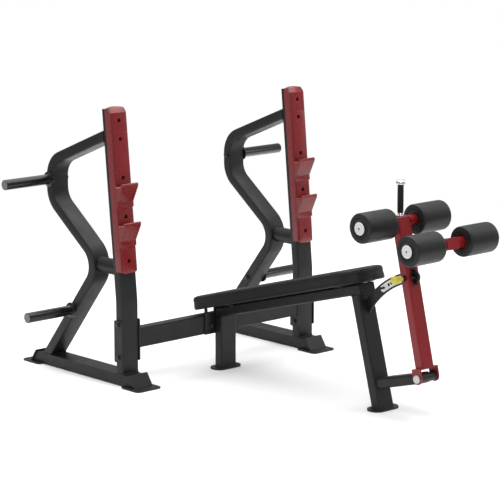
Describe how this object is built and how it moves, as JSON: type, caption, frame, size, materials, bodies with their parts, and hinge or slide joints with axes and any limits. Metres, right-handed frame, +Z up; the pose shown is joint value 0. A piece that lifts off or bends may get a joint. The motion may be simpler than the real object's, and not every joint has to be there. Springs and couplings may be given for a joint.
{
  "type": "olympic bench press",
  "caption": "Decline bench for a long barbell: bent uprights with bar hooks and plate horns, a sloping padded bench and a hinged leg hold-down with foam rollers.",
  "frame": {"origin": "middle of the bounding box at floor level", "axes": "+Z up, Y along the bench with the leg hold-down towards -Y and the uprights towards +Y, X across the uprights"},
  "size_m": [1.8226, 2.3658, 1.3495],
  "materials": {
    "frame_paint": "satin",
    "red_paint": "satin",
    "red_plastic": "satin",
    "pad_vinyl": "satin",
    "pad_board": "matte",
    "foam": "satin",
    "chrome": "polished",
    "black_enamel": "gloss",
    "black_plastic": "matte",
    "yellow_plastic": "satin"
  },
  "bodies": {
    "frame": {"beam_end_cap": "black_plastic", "bench_beam": "frame_paint", "crossmember": "frame_paint", "front_stop_bolt": "black_plastic", "joint_plate": "frame_paint", "left_backing_plate": "frame_paint", "left_base_beam": "frame_paint", "left_bottom_cover": "red_plastic", "left_front_foot": "frame_paint", "left_lower_hook": "red_plastic", "left_lower_horn": "black_enamel", "left_middle_cover": "red_plastic", "left_rear_foot": "frame_paint", "left_s_tube": "frame_paint", "left_spacer": "frame_paint", "left_top_cover": "red_plastic", "left_upper_hook": "red_plastic", "left_upper_horn": "black_enamel", "left_upright": "frame_paint", "leg_foot": "frame_paint", "link_bar": "frame_paint", "pad_board": "pad_board", "pad_bracket_front": "frame_paint", "pad_bracket_rear": "frame_paint", "pad_cushion": "pad_vinyl", "post_foot": "frame_paint", "rear_stop_bolt": "black_plastic", "right_backing_plate": "frame_paint", "right_base_beam": "frame_paint", "right_bottom_cover": "red_plastic", "right_front_foot": "frame_paint", "right_lower_hook": "red_plastic", "right_lower_horn": "black_enamel", "right_middle_cover": "red_plastic", "right_rear_foot": "frame_paint", "right_s_tube": "frame_paint", "right_spacer": "frame_paint", "right_top_cover": "red_plastic", "right_upper_hook": "red_plastic", "right_upper_horn": "black_enamel", "right_upright": "frame_paint", "sector_plate": "frame_paint", "short_post": "frame_paint", "slanted_leg": "frame_paint"},
    "hold_down_arm": {"hold_down_arm": "red_paint", "clevis": "red_paint", "pivot_pin": "chrome", "left_rear_bar": "red_paint", "right_rear_bar": "red_paint", "front_bar": "red_paint", "front_bracket": "red_paint", "handle_post": "chrome", "handle_grip": "black_plastic", "plunger_housing": "black_plastic", "slot_guide": "black_plastic"},
    "pull_pin": {"pull_knob": "yellow_plastic"},
    "left_rear_roller": {"left_rear_roller": "foam"},
    "left_front_roller": {"left_front_roller": "foam"},
    "right_rear_roller": {"right_rear_roller": "foam"},
    "right_front_roller": {"right_front_roller": "foam"}
  },
  "joints": [
    {"name": "hold_down_arm", "type": "hinge", "parent": "frame", "child": "hold_down_arm", "pos_m": [0, -0.9897, 0.201], "axis": [-1, 0, 0], "range_deg": [-0.3, 17.5]},
    {"name": "pull_pin", "type": "slide", "parent": "hold_down_arm", "child": "pull_pin", "axis": [-1, 0, 0], "range_m": [0, 0.014], "stiffness_N_per_m": 1500, "springref_m": -0.002},
    {"name": "left_rear_roller", "type": "hinge", "parent": "hold_down_arm", "child": "left_rear_roller", "pos_m": [0, -0.8197, 0.8983], "axis": [1, 0, 0], "continuous": true},
    {"name": "left_front_roller", "type": "hinge", "parent": "hold_down_arm", "child": "left_front_roller", "pos_m": [0, -1.1129, 0.8352], "axis": [1, 0, 0], "continuous": true},
    {"name": "right_rear_roller", "type": "hinge", "parent": "hold_down_arm", "child": "right_rear_roller", "pos_m": [0, -0.8197, 0.8983], "axis": [1, 0, 0], "continuous": true},
    {"name": "right_front_roller", "type": "hinge", "parent": "hold_down_arm", "child": "right_front_roller", "pos_m": [0, -1.1129, 0.8352], "axis": [1, 0, 0], "continuous": true}
  ]
}
